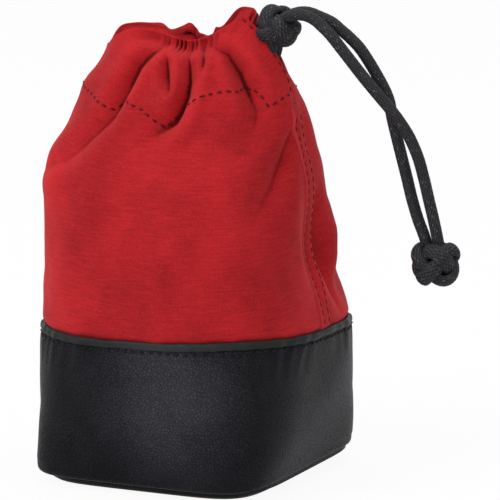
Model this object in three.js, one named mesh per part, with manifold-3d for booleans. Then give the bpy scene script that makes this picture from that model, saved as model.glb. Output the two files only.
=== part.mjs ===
// A drawstring lens pouch: a woven fabric bag on a padded leather base, closed by a braided cord
// that runs in a hem casing round the mouth, leaves it at a slit in the right side seam, passes
// through a sliding woven knot and ends in a second one.
// Millimetres, +Z up. The origin is the centre of the underside and the front panel faces -Y.

import * as THREE from "three";
import { mergeVertices } from "three/addons/utils/BufferGeometryUtils.js";
import Module from "manifold-3d";

const wasm = await Module();
wasm.setup();

// Leather base
const FOOT_WIDTH = 81;
const BASE_WIDTH = 87;
const BASE_HEIGHT = 52;
const BASE_RIM_WIDTH = 95.5;
const BOTTOM_DROP = 4;
const LEATHER = 1.6;
const BINDING_WIDTH = 4;
const BOTTOM_THICKNESS = 5;
const FOOT_ROUNDING = 3;
const FOOT_LEAN = -2;
const WALL_SWELL = 3;
const EDGE_PROUD = 0.3;
// Heights of the bottom panel's rounded edge, each with how far it stands in from the wall.
const SOLE_EDGE = [[0, 3.5], [0.8, 1.6], [2.2, 0.5], [BOTTOM_THICKNESS, 0]];

// Stiffening and lining
const BOARD = 1.5;
const FOAM = 3;
const LINING = 0.6;

// Fabric body
const FABRIC = 0.8;
const TUCK = 12;
const BELLY_HEIGHT = 78;
const BELLY_WIDTH = 91;
const SHOULDER_HEIGHT = 103;
const SHOULDER_WIDTH = 89;
const SHOULDER_DEPTH = 78;
const NECK_HEIGHT = 117;
const NECK_WIDTH = 81;
const NECK_DEPTH = 62;
const HEM_HEIGHT = 128;
const HEM_WIDTH = 76;
const HEM_DEPTH = 48;
const BODY_LEAN = -3;
const SEAM_WIDTH = 6;
const COVERED = 6;

// Squareness of the plan at each level: 2 is an ellipse and more is squarer. Pairs are left and right.
const FOOT_SQUARENESS = 5.5;
const WALL_SQUARENESS = 6;
const MIDDLE_SQUARENESS = 4.2;
const RIM_SQUARENESS = 2.7;
const BELLY_SQUARENESS = [2.7, 2.5];
const SHOULDER_SQUARENESS = [2.6, 2.2];
const NECK_SQUARENESS = [2.4, 1.9];
const HEM_SQUARENESS = [2.2, 1.7];
const MOUTH_SQUARENESS = [2.6, 1.25];

// Drawn mouth
const MOUTH_HEIGHT = 149;
const MOUTH_WIDTH = 58;
const MOUTH_DEPTH = 27;
const SLIT_RISE = 12;
const EAR_DROP = 8;
const SLIT_GAP = 8;
const PLEATS = 7;
const PLEAT_RISE = 1.1;

// Cord and knots
const CORD = 4;
const CORD_LEVEL = 0.62;
const CORD_BEND = 10.5;
const BEND_CENTRE_X = 39;
const BEND_RISE = -0.9;
const BEND_CENTRE_Z = MOUTH_HEIGHT + BEND_RISE;
const BEND_START = 184;
const BEND_END = 50;
const SLIDER_ANGLE = 150;
const KNOT_STRAND = 3.2;
const KNOT_WEAVE = 0.95;
const SLIDER_LENGTH = 10;
const KNOT_LENGTH = 14;
const KNOT_BIGHTS = 4;
const KNOT_LEADS = 3;
const END_KNOT_X = 87.5;
const END_KNOT_Z = 79;

// Clearances
const GAP = 0.3;
const CORD_GAP = 0.35;
const HALF_SEAM = 0.4;

const AROUND = 44;
const HALF_STEPS = AROUND / 2;

const leather = new THREE.MeshStandardMaterial({ color: 0x26252b, roughness: 0.55, metalness: 0 });
const binding = new THREE.MeshStandardMaterial({ color: 0x232a2a, roughness: 0.5, metalness: 0 });
const fabric = new THREE.MeshStandardMaterial({ color: 0xaf232a, roughness: 0.85, metalness: 0 });
const cordBraid = new THREE.MeshStandardMaterial({ color: 0x232326, roughness: 0.8, metalness: 0 });
const foam = new THREE.MeshStandardMaterial({ color: 0x6f7276, roughness: 0.95, metalness: 0 });
const board = new THREE.MeshStandardMaterial({ color: 0x3a3a3c, roughness: 0.7, metalness: 0 });
const lining = new THREE.MeshStandardMaterial({ color: 0x3c3b40, roughness: 0.9, metalness: 0 });

const lerp = THREE.MathUtils.lerp;
const smoothstep = THREE.MathUtils.smoothstep;

// Outer sections of the pouch from the foot to the hem: half sizes, squareness of the corners on the
// left and right, and sideways lean.
function level(z, width, depth, [left, right], lean) {
  return { z, a: width / 2, b: depth / 2, left, right, lean };
}
const even = (squareness) => [squareness, squareness];
const WALL_WIDTH = BASE_WIDTH + WALL_SWELL;
const HALF_LEAN = BODY_LEAN * 0.6;
const sections = [
  level(BOTTOM_DROP, FOOT_WIDTH, FOOT_WIDTH, even(FOOT_SQUARENESS), FOOT_LEAN),
  level(BOTTOM_DROP + FOOT_ROUNDING, BASE_WIDTH, BASE_WIDTH, even(WALL_SQUARENESS), FOOT_LEAN * 0.6),
  level(BASE_HEIGHT / 2, WALL_WIDTH, WALL_WIDTH, even(MIDDLE_SQUARENESS), 0),
  level(BASE_HEIGHT, BASE_RIM_WIDTH, BASE_RIM_WIDTH, even(RIM_SQUARENESS), 0),
  level(BELLY_HEIGHT, BELLY_WIDTH, BELLY_WIDTH, BELLY_SQUARENESS, HALF_LEAN),
  level(SHOULDER_HEIGHT, SHOULDER_WIDTH, SHOULDER_DEPTH, SHOULDER_SQUARENESS, BODY_LEAN),
  level(NECK_HEIGHT, NECK_WIDTH, NECK_DEPTH, NECK_SQUARENESS, BODY_LEAN),
  level(HEM_HEIGHT, HEM_WIDTH, HEM_DEPTH, HEM_SQUARENESS, HALF_LEAN),
];
const mouth = level(0, MOUTH_WIDTH, MOUTH_DEPTH, MOUTH_SQUARENESS, BODY_LEAN);

function mix(low, high, share) {
  const blended = {};
  for (const key of Object.keys(low)) {
    blended[key] = lerp(low[key], high[key], share);
  }
  return blended;
}

function sectionAt(z) {
  const last = sections.length - 2;
  let i = 0;
  while (i < last && sections[i + 1].z < z) {
    i += 1;
  }
  const low = sections[i];
  const high = sections[i + 1];
  return mix(low, high, (z - low.z) / (high.z - low.z));
}

// One point of a section, moved inward by inset. Turn 0 is the right seam and half a turn the left one.
function sectionPoint(section, turn, inset, z) {
  const c = Math.cos(turn);
  const s = Math.sin(turn);
  const power = 2 / lerp(section.left, section.right, smoothstep(c, -0.8, 0.8));
  const x = section.lean + (section.a - inset) * Math.sign(c) * Math.abs(c) ** power;
  const y = (section.b - inset) * Math.sign(s) * Math.abs(s) ** power;
  return new THREE.Vector3(x, y, z);
}

// The turn, near a seam, at which a section stands the given distance off the seam plane.
function seamTurn(section, distance, squareness) {
  return Math.asin(Math.min(1, (distance / section.b) ** (squareness / 2)));
}

function geometryFrom(points, triangles) {
  const raw = new THREE.BufferGeometry();
  raw.setAttribute("position", new THREE.Float32BufferAttribute(points.flatMap((p) => [p.x, p.y, p.z]), 3));
  raw.setIndex(triangles);
  return mergeVertices(raw, 1e-4);
}

// A closed solid from a grid of closed loops: each row is one loop, and the ends are capped with fans.
function loopSolid(loops) {
  const count = loops[0].length;
  const points = loops.flat();
  const triangles = [];
  for (let row = 0; row + 1 < loops.length; row += 1) {
    for (let i = 0; i < count; i += 1) {
      const next = (i + 1) % count;
      const low = row * count;
      const high = low + count;
      triangles.push(low + i, low + next, high + next, low + i, high + next, high + i);
    }
  }
  const ends = [loops[0], loops[loops.length - 1]];
  ends.forEach((loop, end) => {
    const centre = new THREE.Vector3();
    loop.forEach((p) => centre.addScaledVector(p, 1 / count));
    const hub = points.push(centre) - 1;
    const start = end === 0 ? 0 : (loops.length - 1) * count;
    for (let i = 0; i < count; i += 1) {
      const next = (i + 1) % count;
      triangles.push(hub, start + (end === 0 ? next : i), start + (end === 0 ? i : next));
    }
  });
  return geometryFrom(points, triangles);
}

// A shell between an outer and an inner grid. Rows run upwards and columns anticlockwise seen from above.
function shellSolid(outer, inner, closed) {
  const rows = outer.length;
  const columns = outer[0].length;
  const points = [...outer.flat(), ...inner.flat()];
  const triangles = [];
  const at = (side, row, column) => side * rows * columns + row * columns + (column % columns);
  const quad = (a, b, c, d) => triangles.push(a, b, c, a, c, d);
  const spans = closed ? columns : columns - 1;
  for (let i = 0; i < spans; i += 1) {
    for (let row = 0; row + 1 < rows; row += 1) {
      quad(at(0, row, i), at(0, row, i + 1), at(0, row + 1, i + 1), at(0, row + 1, i));
      quad(at(1, row, i + 1), at(1, row, i), at(1, row + 1, i), at(1, row + 1, i + 1));
    }
    const top = rows - 1;
    quad(at(0, top, i), at(0, top, i + 1), at(1, top, i + 1), at(1, top, i));
    quad(at(0, 0, i + 1), at(0, 0, i), at(1, 0, i), at(1, 0, i + 1));
  }
  if (!closed) {
    const end = columns - 1;
    for (let row = 0; row + 1 < rows; row += 1) {
      quad(at(0, row, 0), at(0, row + 1, 0), at(1, row + 1, 0), at(1, row, 0));
      quad(at(0, row + 1, end), at(0, row, end), at(1, row, end), at(1, row + 1, end));
    }
  }
  return geometryFrom(points, triangles);
}

function heightsBetween(low, high) {
  const inside = sections.map((section) => section.z).filter((z) => z > low && z < high);
  return [low, ...inside, high];
}

function ringAt(z, inset) {
  const section = sectionAt(z);
  const turns = Array.from({ length: AROUND }, (_, i) => (2 * Math.PI * i) / AROUND);
  return turns.map((turn) => sectionPoint(section, turn, inset, z));
}

// A wall all round the pouch, between two heights, with its outer and inner face inset by functions of z.
function wall(low, high, outerInset, innerInset, breaks = []) {
  const heights = [...heightsBetween(low, high), ...breaks].sort((p, q) => p - q);
  const outer = heights.map((z) => ringAt(z, outerInset(z)));
  const inner = heights.map((z) => ringAt(z, innerInset(z)));
  return shellSolid(outer, inner, true);
}

function slab(low, high, inset) {
  return loopSolid(heightsBetween(low, high).map((z) => ringAt(z, inset)));
}

// How far the fabric and the lining lie inside the outer sections: both step in under the leather.
const FABRIC_FREE = BASE_HEIGHT + COVERED;
const FABRIC_HALF_FREE = BASE_HEIGHT + COVERED / 2;
const fabricInset = (z) => (LEATHER + GAP) * (1 - smoothstep(z, BASE_HEIGHT, FABRIC_FREE));
const LINING_LOW = BASE_HEIGHT - TUCK;
const foamFace = LEATHER + GAP + FOAM + GAP;
const liningInset = (z) => {
  const upper = fabricInset(z) + FABRIC + GAP;
  return lerp(foamFace, upper, THREE.MathUtils.clamp((z - LINING_LOW) / TUCK, 0, 1));
};

// Half of the fabric body, front or back, between the two side seams.
function fabricPanel(side) {
  const levels = heightsBetween(LINING_LOW, HEM_HEIGHT);
  const heights = [...levels, FABRIC_HALF_FREE, FABRIC_FREE].sort((p, q) => p - q);
  const grid = (extra) => heights.map((z) => {
    const section = sectionAt(z);
    const right = seamTurn(section, HALF_SEAM, section.right);
    const left = seamTurn(section, HALF_SEAM, section.left);
    const start = side === "front" ? Math.PI + left : right;
    const end = side === "front" ? 2 * Math.PI - right : Math.PI - left;
    return Array.from({ length: HALF_STEPS + 1 }, (_, i) => {
      const turn = lerp(start, end, i / HALF_STEPS);
      return sectionPoint(section, turn, fabricInset(z) + extra, z);
    });
  });
  return shellSolid(grid(0), grid(FABRIC), false);
}

// The felled seam: a strip of doubled cloth that lies on the joined panels at one side.
function seamStrip(sign) {
  const low = BASE_HEIGHT + 2 * GAP;
  const heights = [...heightsBetween(low, HEM_HEIGHT - GAP), FABRIC_FREE].sort((p, q) => p - q);
  const across = [-1, -0.5, 0, 0.5, 1];
  const grid = (lift) => heights.map((z) => {
    const section = sectionAt(z);
    const power = sign > 0 ? section.right : section.left;
    const depth = section.b - fabricInset(z);
    return across.map((share) => {
      const y = sign * share * (SEAM_WIDTH / 2);
      const reach = (1 - (Math.abs(y) / depth) ** power) ** (1 / power);
      const x = section.lean + sign * ((section.a - fabricInset(z)) * reach + GAP + lift);
      return new THREE.Vector3(x, y, z);
    });
  });
  return shellSolid(grid(FABRIC), grid(0), false);
}

// The drawn mouth: share 0 is the hem line and share 1 the rim, which rises to the slit and dips at
// the left ear.
const hem = sectionAt(HEM_HEIGHT);
function rimHeight(turn) {
  const c = Math.cos(turn);
  return MOUTH_HEIGHT + SLIT_RISE * Math.max(0, c) ** 2 - EAR_DROP * Math.max(0, -c) ** 6;
}
// Place runs from the left seam, 0, to the slit, 1, where the front and back halves stand apart.
function casingTurn(side, place, share) {
  const section = mix(hem, mouth, share);
  const left = seamTurn(section, 2 * HALF_SEAM, section.left);
  const right = seamTurn(section, lerp(2 * HALF_SEAM, SLIT_GAP, share), section.right);
  const turn = lerp(Math.PI + left, 2 * Math.PI - right, place);
  return side === "front" ? turn : -turn;
}
function casingPoint(side, place, share, inset) {
  const section = mix(hem, mouth, share);
  const turn = casingTurn(side, place, share);
  return sectionPoint(section, turn, inset, lerp(HEM_HEIGHT + GAP, rimHeight(turn), share));
}

const SLEEVE_SLANT = 1.36;
const SLEEVE_BORE = (CORD + 2 * CORD_GAP) * SLEEVE_SLANT;
const SLEEVE = SLEEVE_BORE + 2 * FABRIC;
const SLEEVE_SEWN = 2 * FABRIC + GAP + LINING;
const BORE_LOW = 0.34;
const BORE_HIGH = 0.9;

const casingPlaces = Array.from({ length: HALF_STEPS + 1 }, (_, i) => i / HALF_STEPS);

function pleat(place, share) {
  const wave = 0.5 - 0.5 * Math.cos(2 * Math.PI * PLEATS * place);
  return PLEAT_RISE * wave * smoothstep(share, 0.25, 1);
}

// A sleeve of doubled cloth, sewn flat at the hem line and open at both ends for the cord.
function casing(side) {
  const point = (place, share, inset) => casingPoint(side, place, share, inset);
  const face = (place) => [
    ...[0, 0.2, 0.42, 0.68, 0.94].map((share) => point(place, share, -pleat(place, share))),
    point(place, 1, SLEEVE * 0.25 - pleat(place, 1)),
    point(place, 1, SLEEVE * 0.75),
    ...[0.94, 0.68, 0.42].map((share) => point(place, share, SLEEVE)),
    point(place, 0.2, lerp(SLEEVE_SEWN, SLEEVE, 0.5)),
    point(place, 0, SLEEVE_SEWN),
  ];
  const bore = (place) => [
    point(place, BORE_LOW, FABRIC),
    point(place, CORD_LEVEL, FABRIC),
    point(place, BORE_HIGH, FABRIC),
    point(place, BORE_HIGH, SLEEVE - FABRIC),
    point(place, CORD_LEVEL, SLEEVE - FABRIC),
    point(place, BORE_LOW, SLEEVE - FABRIC),
  ];
  const past = 0.02;
  const body = solidOf(loopSolid(casingPlaces.map(face)));
  const tunnel = solidOf(loopSolid(casingPlaces.map((share) => bore(lerp(-past, 1 + past, share)))));
  return geometryOf(body.subtract(tunnel));
}

function solidOf(geometry) {
  const clean = mergeVertices(geometry, 1e-4);
  const mesh = new wasm.Mesh({
    numProp: 3,
    vertProperties: new Float32Array(clean.attributes.position.array),
    triVerts: new Uint32Array(clean.index.array),
  });
  const solid = new wasm.Manifold(mesh);
  if (solid.volume() > 0) {
    return solid;
  }
  const index = Array.from(clean.index.array);
  for (let i = 0; i < index.length; i += 3) {
    [index[i + 1], index[i + 2]] = [index[i + 2], index[i + 1]];
  }
  clean.setIndex(index);
  return solidOf(clean);
}

function geometryOf(solid) {
  const mesh = solid.getMesh();
  const geometry = new THREE.BufferGeometry();
  geometry.setAttribute("position", new THREE.BufferAttribute(new Float32Array(mesh.vertProperties), 3));
  geometry.setIndex(new THREE.BufferAttribute(new Uint32Array(mesh.triVerts), 1));
  return geometry;
}

function tube(points, steps, diameter, sides = 8) {
  const section = new THREE.Shape();
  for (let i = 0; i < sides; i += 1) {
    const angle = (2 * Math.PI * i) / sides;
    const x = (diameter / 2) * Math.cos(angle);
    const y = (diameter / 2) * Math.sin(angle);
    if (i === 0) {
      section.moveTo(x, y);
    } else {
      section.lineTo(x, y);
    }
  }
  section.closePath();
  const path = new THREE.CatmullRomCurve3(points);
  const geometry = new THREE.ExtrudeGeometry(section, { steps, bevelEnabled: false, extrudePath: path });
  geometry.deleteAttribute("normal");
  geometry.deleteAttribute("uv");
  return geometryOf(solidOf(geometry));
}

// The cord inside each half of the casing.
function cordRun(side) {
  const points = casingPlaces.map((place) => casingPoint(side, place, CORD_LEVEL, SLEEVE / 2));
  return { points, geometry: tube(points, HALF_STEPS * 2, CORD) };
}

// A point on the bend over which the cord leaves the mouth: angle from +X, in the plane of the seams.
function bendPoint(degrees, outward, y) {
  const angle = THREE.MathUtils.degToRad(degrees);
  const radius = CORD_BEND + outward;
  const x = BEND_CENTRE_X + radius * Math.cos(angle);
  const z = BEND_CENTRE_Z + radius * Math.sin(angle);
  return new THREE.Vector3(x, y, z);
}

const LANE = (CORD + GAP) / 2;
function bendPoints(y) {
  const count = 14;
  return Array.from({ length: count + 1 }, (_, i) => bendPoint(lerp(BEND_START, BEND_END, i / count), 0, y));
}

// Free ends of the cord: they cross once, the front one passing in front, and end side by side.
const freePoints = {
  front: [
    [54, -2.6, 149.8], [61.6, -3, 141.4], [68.5, -3, 133.6], [71.8, -2.9, 130.2], [75, -2.7, 127.3],
    [77.6, -2.3, 124], [79.8, -1.8, 120.4], [82.4, -1.5, 114.1], [84.3, -1.2, 107.4], [85.8, -0.9, 100.6],
    [87.3, -0.6, 93.9],
  ],
  back: [
    [54.2, 2.8, 154.4], [62.4, 3, 146.8], [67.6, 3, 138], [70.2, 2.8, 131.6], [71.4, 2.2, 125.9],
    [73.3, 1.9, 119.3], [75.3, 1.5, 112.8], [77.3, 1.2, 106.2], [79.2, 0.9, 99.6], [81.8, 0.5, 93],
  ],
};

function strand(side, run) {
  const sign = side === "front" ? -1 : 1;
  const end = run[run.length - 1];
  const heading = end.clone().sub(run[run.length - 2]).normalize();
  const exit = end.clone().addScaledVector(heading, 2 * GAP);
  const bend = bendPoint(BEND_START, 0, sign * LANE);
  const corner = exit.clone().addScaledVector(heading, CORD * 0.6);
  const rise = corner.clone().lerp(bend, 0.5);
  const laneX = END_KNOT_X - sign * LANE;
  const points = [
    exit,
    corner,
    rise,
    ...bendPoints(sign * LANE),
    ...freePoints[side].map((p) => new THREE.Vector3(...p)),
    new THREE.Vector3(laneX, 0, END_KNOT_Z + KNOT_LENGTH * 0.75),
    new THREE.Vector3(laneX, 0, END_KNOT_Z + KNOT_LENGTH * 0.2),
    new THREE.Vector3(laneX, 0, END_KNOT_Z - KNOT_LENGTH * 0.35),
  ];
  return tube(points, 52, CORD);
}

// A woven knot, drawn tight: one strand passes over and under itself three times round the two cords.
// Local axes: along the cords, across the pair and through its thickness.
const KNOT_PIECES = 6;
const KNOT_SIDES = 6;
const PIECE_STEPS = 12;
function wovenKnot(length, place) {
  const radius = KNOT_STRAND / 2;
  const across = LANE + CORD / 2 + CORD_GAP + radius + KNOT_WEAVE;
  const through = CORD / 2 + CORD_GAP + radius + KNOT_WEAVE;
  const half = length / 2 - radius;
  const point = (step) => {
    const turn = (2 * Math.PI * KNOT_LEADS * step) / (KNOT_PIECES * PIECE_STEPS);
    const phase = (KNOT_BIGHTS * turn) / KNOT_LEADS;
    const lift = KNOT_WEAVE * Math.sin(2 * phase);
    return place(half * Math.cos(phase), (across + lift) * Math.cos(turn), (through + lift) * Math.sin(turn));
  };
  const pieces = Array.from({ length: KNOT_PIECES }, (_, i) => {
    const points = Array.from({ length: PIECE_STEPS + 2 }, (_, k) => point(i * PIECE_STEPS + k));
    return solidOf(tube(points, PIECE_STEPS + 1, KNOT_STRAND, KNOT_SIDES));
  });
  return geometryOf(wasm.Manifold.union(pieces));
}

const pouch = new THREE.Group();
function place(name, geometry, material) {
  const mesh = new THREE.Mesh(geometry, material);
  mesh.name = name;
  pouch.add(mesh);
}

const boardLow = BOTTOM_THICKNESS + GAP;
const padLow = boardLow + BOARD + GAP;
const floorLow = padLow + FOAM + GAP;
const bindingLow = BASE_HEIGHT - BINDING_WIDTH;
const lip = LEATHER + GAP;

const sole = SOLE_EDGE.map(([z, inset]) => ringAt(BOTTOM_DROP, lip + inset).map((p) => p.setZ(z)));
place("base_bottom", loopSolid(sole), leather);
place("leather_wall", wall(BOTTOM_DROP, bindingLow - GAP, () => 0, () => LEATHER), leather);
place("edge_binding", wall(bindingLow, BASE_HEIGHT, () => -EDGE_PROUD, () => LEATHER), binding);
place("bottom_board", slab(boardLow, boardLow + BOARD, lip), board);
place("bottom_foam", slab(padLow, padLow + FOAM, foamFace), foam);
place("wall_foam", wall(padLow, LINING_LOW - GAP, () => lip, () => lip + FOAM), foam);
place("lining_floor", slab(floorLow, floorLow + LINING, foamFace + LINING + GAP), lining);
const liningTop = HEM_HEIGHT - GAP;
const liningBreaks = [LINING_LOW, FABRIC_HALF_FREE, FABRIC_FREE];
const liningFace = (z) => liningInset(z) + LINING;
place("lining_wall", wall(floorLow, liningTop, liningInset, liningFace, liningBreaks), lining);
place("front_panel", fabricPanel("front"), fabric);
place("back_panel", fabricPanel("back"), fabric);
place("left_seam", seamStrip(-1), fabric);
place("right_seam", seamStrip(1), fabric);

for (const side of ["front", "back"]) {
  const run = cordRun(side);
  place(`${side}_casing`, casing(side), fabric);
  place(`cord_${side}_run`, run.geometry, cordBraid);
  place(`cord_${side}_strand`, strand(side, run.points), cordBraid);
}

const arcPerMillimetre = THREE.MathUtils.radToDeg(1 / CORD_BEND);
const onBend = (along, across, out) => bendPoint(SLIDER_ANGLE - along * arcPerMillimetre, out, across);
const onEnds = (along, across, out) => new THREE.Vector3(END_KNOT_X + across, out, END_KNOT_Z + along);
place("slider_knot", wovenKnot(SLIDER_LENGTH, onBend), cordBraid);
place("end_knot", wovenKnot(KNOT_LENGTH, onEnds), cordBraid);

export default pouch;
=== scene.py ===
import math
import bpy
import numpy as np
from mathutils import Matrix, Vector, noise


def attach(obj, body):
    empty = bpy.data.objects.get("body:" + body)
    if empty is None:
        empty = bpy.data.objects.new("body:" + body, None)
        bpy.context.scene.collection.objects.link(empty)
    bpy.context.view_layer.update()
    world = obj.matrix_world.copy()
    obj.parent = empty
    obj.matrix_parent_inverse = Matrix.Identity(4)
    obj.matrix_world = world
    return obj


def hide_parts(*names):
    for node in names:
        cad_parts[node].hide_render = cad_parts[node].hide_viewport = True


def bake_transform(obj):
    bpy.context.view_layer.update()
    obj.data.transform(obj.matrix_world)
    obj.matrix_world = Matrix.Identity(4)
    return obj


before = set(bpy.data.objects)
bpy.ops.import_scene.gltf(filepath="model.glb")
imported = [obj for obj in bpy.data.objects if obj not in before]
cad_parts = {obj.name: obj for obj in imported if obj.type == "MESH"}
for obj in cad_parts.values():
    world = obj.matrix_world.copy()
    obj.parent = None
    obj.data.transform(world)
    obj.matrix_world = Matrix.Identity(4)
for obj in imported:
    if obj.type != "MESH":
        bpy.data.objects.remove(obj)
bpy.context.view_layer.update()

# Leather wall of the base: one strip of grained black leather, square at the foot and rounder at the
# top, closed behind. It is stretched over a foam ring and sewn to the bottom panel below and to the
# cloth above.
MM = 0.001
LEVELS = [
    # height, width, depth, squareness left and right, lean to the side
    (4, 84.4, 85, 5.5, 5.5, -1.2),
    (7, 86.6, 87.6, 6.5, 6.5, -0.5),
    (26, 90, 90, 4.2, 4.2, 0),
    (52, 95.5, 95.5, 2.7, 2.7, 0),
    (78, 91, 91, 2.7, 2.5, -1.8),
    (103, 89, 78, 2.6, 2.2, -3),
    (117, 81, 62, 2.4, 1.9, -3),
    (128, 76, 48, 2.2, 1.7, -1.8),
    (149, 58, 27, 2.6, 1.25, -3),
]
RIM = 52
HEM = 128


def level(z, soften):
    """The plan's sizes at height z, eased over the given distance so that no edge shows between levels."""
    z = np.asarray(z, float)
    table = np.array(LEVELS, float)
    steps = np.linspace(-soften, soften, 9)
    return [np.mean([np.interp(z + s, table[:, 0], table[:, k]) for s in steps], axis=0) for k in range(1, 6)]


def ease(x, low, high):
    """0 up to the low value and 1 from the high one, with a soft step between them."""
    t = np.clip((np.asarray(x, float) - low) / (high - low), 0, 1)
    return t * t * (3 - 2 * t)


def round_pouch(turn, z, inset=0.0, soften=3.0):
    """Points of the pouch's outside, in mm. Turn 0 is the right seam and half a turn the left one."""
    width, depth, left, right, lean = level(z, soften)
    c, s = np.cos(turn), np.sin(turn)
    power = 2 / (left + (right - left) * ease(c, -0.8, 0.8))
    x = lean + (width / 2 - inset) * np.sign(c) * np.abs(c) ** power
    y = (depth / 2 - inset) * np.sign(s) * np.abs(s) ** power
    return np.stack([x, y, np.broadcast_to(z, x.shape)], axis=-1)


def facing(grid, closed):
    """Unit normals of a grid of points, rows upwards and columns anticlockwise seen from above."""
    if closed:
        along = np.roll(grid, -1, 1) - np.roll(grid, 1, 1)
    else:
        along = np.gradient(grid, axis=1)
    up = np.gradient(grid, axis=0)
    out = np.cross(along, up)
    return out / np.maximum(np.linalg.norm(out, axis=-1, keepdims=True), 1e-9)


def grid_faces(rows, columns, closed, start=0):
    spans = columns if closed else columns - 1
    faces = []
    for r in range(rows - 1):
        for c in range(spans):
            d = (c + 1) % columns
            faces.append((start + r * columns + c, start + r * columns + d,
                          start + (r + 1) * columns + d, start + (r + 1) * columns + c))
    return faces


def loop_faces(rows, columns):
    """Faces of a closed section swept all round, where the last row joins the first again."""
    last = (rows - 1) * columns
    joined = [(last + i, last + (i + 1) % columns, (i + 1) % columns, i) for i in range(columns)]
    return grid_faces(rows, columns, True) + joined


def piece(name, points, faces, material, body, nodes=(), cloth=None):
    """A smooth mesh from points in mm, riding on a body and standing for CAD nodes."""
    mesh = bpy.data.meshes.new(name)
    mesh.from_pydata((np.asarray(points, float).reshape(-1, 3) * MM).tolist(), [], faces)
    mesh.update()
    mesh.polygons.foreach_set("use_smooth", [True] * len(mesh.polygons))
    if cloth is not None:
        run = mesh.attributes.new("run", "FLOAT_VECTOR", "POINT")
        run.data.foreach_set("vector", np.asarray(cloth, np.float32).reshape(-1))
    mesh.materials.append(material)
    made = bpy.data.objects.new(name, mesh)
    bpy.context.scene.collection.objects.link(made)
    if body:
        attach(made, body)
    if nodes:
        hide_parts(*nodes)
    return made


class Paint:
    """One socket of a material, with arithmetic that adds Math nodes."""

    def __init__(self, tree, socket=None):
        self.tree, self.socket = tree, socket

    def node(self, kind, settings=None, out=0, **sockets):
        made = self.tree.nodes.new("ShaderNode" + kind)
        for key, value in (settings or {}).items():
            setattr(made, key, value)
        for key, value in sockets.items():
            target = made.inputs[int(key[1:])] if key[1:].isdigit() else made.inputs[key.replace("_", " ")]
            self.feed(target, value)
        return Paint(self.tree, made.outputs[out])

    def feed(self, target, value):
        if isinstance(value, Paint):
            self.tree.links.new(value.socket, target)
        else:
            target.default_value = value

    def math(self, operation, *others):
        return self.node("Math", {"operation": operation}, i0=self, **{f"i{k + 1}": v for k, v in enumerate(others)})

    def __add__(self, other):
        return self.math("ADD", other)

    def __mul__(self, other):
        return self.math("MULTIPLY", other)

    def __rsub__(self, other):
        return self.node("Math", {"operation": "SUBTRACT"}, i0=other, i1=self)

    __radd__, __rmul__ = __add__, __mul__

    def between(self, low, high):
        """0 at the low value and 1 at the high one, eased."""
        return self.node("MapRange", {"interpolation_type": "SMOOTHSTEP"}, Value=self, From_Min=low, From_Max=high)

    def toward(self, kind, other):
        """A vector's distance from, or dot product with, a fixed vector."""
        return self.node("VectorMath", {"operation": kind}, out=1, i0=self, i1=other)

    def blend(self, first, second):
        """The first colour where this is 0 and the second where it is 1."""
        return self.node("Mix", {"data_type": "RGBA"}, out=2, i0=self, i6=first, i7=second)


def finish_of(name):
    """A new material: its paint, its shader node and the place on the object as a vector."""
    material = bpy.data.materials.new(name)
    material.use_nodes = True
    shader = material.node_tree.nodes["Principled BSDF"]
    paint = Paint(material.node_tree)
    place = paint.node("TexCoord", out=3)
    return material, paint, shader, place


def feed(paint, shader, **sockets):
    for key, value in sockets.items():
        paint.feed(shader.inputs[key.replace("_", " ")], value)


def srgb(*colour):
    """A screen colour, 0 to 255, as the linear colour that a shader takes."""
    return tuple(((v / 255 + 0.055) / 1.055) ** 2.4 if v > 10 else v / 255 / 12.92 for v in colour) + (1,)


# Centre of the painted highlight on the leather's upper front, and the slope of the painted reflection streak on its
# right face.
HIGHLIGHT_PLACE = (0.011, -0.047, 0.037)
REFLECTION_STREAK_SLOPE = (0.0, -0.489, 0.873)


def leather_finish(name, dark, light, grain_depth):
    """Grained leather: small rounded cells with creases between them, painted shade in the creases, a little shine,
    a painted highlight on the upper front and a painted reflection along a slanting streak on the right face."""
    material, paint, shader, place = finish_of(name)
    wander = paint.node("TexNoise", out=1, Vector=place, Scale=420.0, Detail=2.0)
    wander = paint.node("VectorMath", {"operation": "SCALE"}, i0=wander, i3=0.0012)
    bent = paint.node("VectorMath", {"operation": "ADD"}, i0=place, i1=wander)
    cells = paint.node("TexVoronoi", {"feature": "DISTANCE_TO_EDGE"}, Vector=bent, Scale=980.0)
    creases = cells.between(0.0, 0.16)
    pores = paint.node("TexNoise", Vector=place, Scale=2600.0, Detail=3.0)
    cloudy = paint.node("TexNoise", Vector=place, Scale=55.0, Detail=4.0)
    height = creases * 0.7 + pores * 0.3
    bump = paint.node("Bump", Strength=grain_depth, Distance=0.0004, Height=height)
    # Painted highlight: a pale patch on the upper front, where the grain's contrast also rises.
    painted_front_highlight = place.toward("DISTANCE", HIGHLIGHT_PLACE).between(0.038, 0.006)
    # Painted reflection: a pale slanting streak on the right face.
    slant = place.toward("DOT_PRODUCT", REFLECTION_STREAK_SLOPE)
    right_face = place.toward("DOT_PRODUCT", (1.0, 0.0, 0.0)).between(0.036, 0.045)
    painted_highlight = slant.between(-0.004, 0.012) * slant.between(0.032, 0.016) * right_face
    # Base colour: random tone, painted shade in the grain's creases, the painted highlight and the painted
    # reflection.
    tone_with_painted_light = (cloudy * 0.6 + creases * (painted_front_highlight * 0.14 + 0.12) + painted_front_highlight * 0.42 + painted_highlight * 0.45).between(0.2, 1.3)
    feed(paint, shader, Base_Color=tone_with_painted_light.blend(dark, light), Roughness=0.38 - creases * 0.08 + cloudy * 0.14,
         Normal=bump, Specular_IOR_Level=0.08)
    return material


leather = leather_finish("leather", srgb(14, 13, 19), srgb(64, 63, 69), 1.0)
AROUND = 240
turns = np.linspace(0, 2 * np.pi, AROUND, endpoint=False)


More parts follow.
